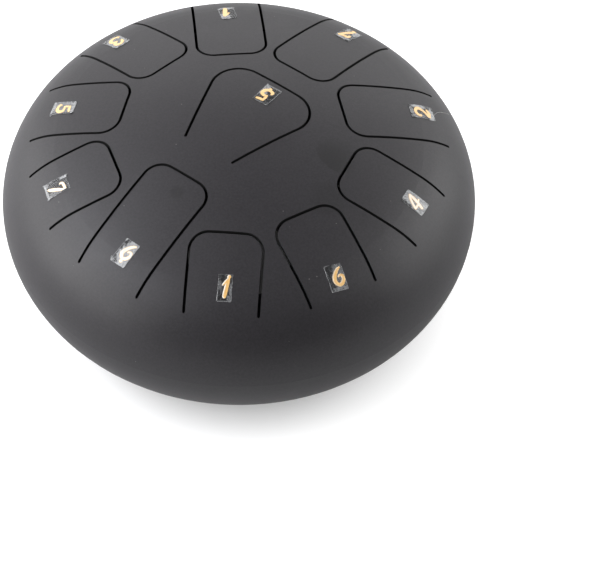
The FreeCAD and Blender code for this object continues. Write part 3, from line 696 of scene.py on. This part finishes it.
def fibre():
    """A fine pale hair that lies on the coating beside the film of note two."""
    curve = bpy.data.curves.new("fibre", "CURVE")
    curve.dimensions = "3D"
    curve.bevel_depth = FIBRE_RADIUS * MM
    curve.use_fill_caps = True
    spline = curve.splines.new("NURBS")
    spline.points.add(len(FIBRE) - 1)
    for point, (x, y, height) in zip(spline.points, FIBRE):
        point.co = (*on_steel(x, y, height), 1)
    spline.order_u = 3
    spline.use_endpoint_u = True
    item = bpy.data.objects.new("fibre", curve)
    bpy.context.scene.collection.objects.link(item)
    curve.materials.append(lint())
    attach(item, "root")


fibre()


# Camera

# Its elevation in radians and its distance in metres from the middle of the mid-plane; how far it stands
# round to the drum's right, in degrees; and how it turns away from that middle, in radians
ELEVATION, DISTANCE, ROUND = 0.861830779, 1.145655, 4.88
YAW, PITCH, ROLL = -0.0284771, 0.0467268, 0.00095962
# The photograph's focal length and width in pixels, and the sensor's width in millimetres
FOCAL_LENGTH, PHOTO_WIDTH, SENSOR = 2119.25, 600, 36


def camera():
    """The camera at the photograph's viewing angle."""
    place = DISTANCE * Vector((0, -math.cos(ELEVATION), math.sin(ELEVATION)))
    forward = -place.normalized()
    right = Vector((1, 0, 0))
    level = Matrix((right, forward.cross(right), forward))
    swing = Matrix.Rotation(ROLL, 3, "Z") @ Matrix.Rotation(PITCH, 3, "X") @ Matrix.Rotation(YAW, 3, "Y")
    right, down, forward = (swing @ level).row
    axes = Matrix((right, -down, -forward)).transposed().to_4x4()
    lens = bpy.data.cameras.new("camera")
    lens.lens = FOCAL_LENGTH / PHOTO_WIDTH * SENSOR
    lens.sensor_width = SENSOR
    lens.clip_start = 0.05
    eye = bpy.data.objects.new("camera", lens)
    there = Matrix.Translation(place + Vector((0, 0, MIDPLANE * MM)))
    eye.matrix_world = Matrix.Rotation(math.radians(ROUND), 4, "Z") @ (there @ axes)
    bpy.context.scene.collection.objects.link(eye)
    bpy.context.scene.camera = eye


# Floor, lights and background

# How strongly the floor and the world show in gloss and glass
FLOOR_GLOSS, WORLD_GLOSS = 0.24, 0.1
# Half the floor's side, and from where to where a painted shadow under the drum fades, the floor turning
# paler on the way out from the drum's middle
FLOOR_REACH, PAINTED_SHADOW_FADE = 6, (0.05, 0.1)
# From where to where the floor's shine comes in on the way out, and how much of it
SHINE = [(0.06, 0.14, 0.83), (0.2, 0.7, 0.17)]


def background_share(m, to_gloss):
    """How strongly a background shines: fully to the camera, and so much to gloss and glass."""
    path = m.add("LightPath")
    gloss = m.math("MAXIMUM", path.outputs["Is Glossy Ray"], path.outputs["Is Transmission Ray"])
    return m.math("MAXIMUM", path.outputs["Is Camera Ray"], m.math("MULTIPLY", gloss, to_gloss))


def floor():
    """A pale floor that shines white to the camera, and keeps the drum's shadow under and beside it, with
    a painted shadow darkening it under the drum's middle.
    """
    corners = [(-1, -1), (1, -1), (1, 1), (-1, 1)]
    mesh = bpy.data.meshes.new("floor")
    mesh.from_pydata([(x * FLOOR_REACH, y * FLOOR_REACH, 0) for x, y in corners], [], [(0, 1, 2, 3)])
    item = bpy.data.objects.new("floor", mesh)
    bpy.context.scene.collection.objects.link(item)
    m = Recipe("pale_floor")
    m.set(Roughness=0.9, Emission_Color=(1, 1, 1, 1))
    out = m.distance((0, 0, 0))
    out_of_painted_shadow = m.spread(out, *PAINTED_SHADOW_FADE, 0, 1, smooth=True)
    # Painted shadow: the floor's own colour is dark under the drum's middle and pale beyond
    m.feed(m.blend(out_of_painted_shadow, (0.2, 0.2, 0.2), (0.62, 0.62, 0.62)), "Base Color")
    near, far = [m.spread(out, start, end, 0, gain, smooth=True) for start, end, gain in SHINE]
    shine = m.math("MULTIPLY", background_share(m, FLOOR_GLOSS), m.math("ADD", near, far))
    m.feed(shine, "Emission Strength")
    mesh.materials.append(m.material)


def white_world():
    """A world that is white to the camera, faint in gloss and glass, and lights nothing else."""
    world = bpy.data.worlds.new("world")
    m = Recipe("world", world)
    m.set(Color=(1, 1, 1, 1))
    m.feed(background_share(m, WORLD_GLOSS), "Strength")
    bpy.context.scene.world = world


# Soft lights: azimuth (0 behind the drum, 90 at its right), elevation, width, height and power, in
# degrees, metres and watts
SOFT_BOXES = {
    "left_front": (-115, 20, 1.5, 1.1, 19.5),
    "left": (-80, 20, 1.5, 1.1, 16.5),
    "left_back": (-45, 20, 1.5, 1.1, 7.2),
    "back": (0, 25, 1.5, 1.1, 9.4),
    "right_back": (45, 20, 1.5, 1.1, 9.0),
    "right": (80, 20, 1.5, 1.1, 14.0),
    "right_front": (115, 20, 1.5, 1.1, 1.2),
    "right_front_high": (108, 52, 0.8, 0.7, 2.0),
    "back_high": (0, 60, 1.5, 1.1, 0.6),
    "left_front_high": (-122, 50, 0.8, 0.7, 6.5),
    "left_high": (-95, 50, 0.8, 0.7, 8.5),
    "left_back_high": (-70, 50, 0.8, 0.7, 5.8),
    "right_high": (70, 40, 0.8, 0.7, 4.6),
}
# How far each light stands from the spot on the floor under the drum's middle
LIGHT_DISTANCE = 1.8
# The lights high on the left are a little cooler
COOL_LIGHTS, COOL = ("left_front_high", "left_high", "left_back_high"), (0.94, 0.95, 1.0)


def light(name, azimuth, elevation, width, height, power):
    """A soft light that faces the drum."""
    lamp = bpy.data.lights.new(name, "AREA")
    lamp.shape = "RECTANGLE"
    lamp.size, lamp.size_y, lamp.energy = width, height, power
    if name in COOL_LIGHTS:
        lamp.color = COOL
    item = bpy.data.objects.new(name, lamp)
    a, e = math.radians(azimuth), math.radians(elevation)
    direction = Vector((math.sin(a) * math.cos(e), math.cos(a) * math.cos(e), math.sin(e)))
    item.location = direction * LIGHT_DISTANCE
    item.rotation_mode = "QUATERNION"
    item.rotation_quaternion = direction.to_track_quat("Z", "Y")
    bpy.context.scene.collection.objects.link(item)


camera()
floor()
for name, setting in SOFT_BOXES.items():
    light(name, *setting)
white_world()
bpy.context.scene.view_settings.view_transform = "Standard"
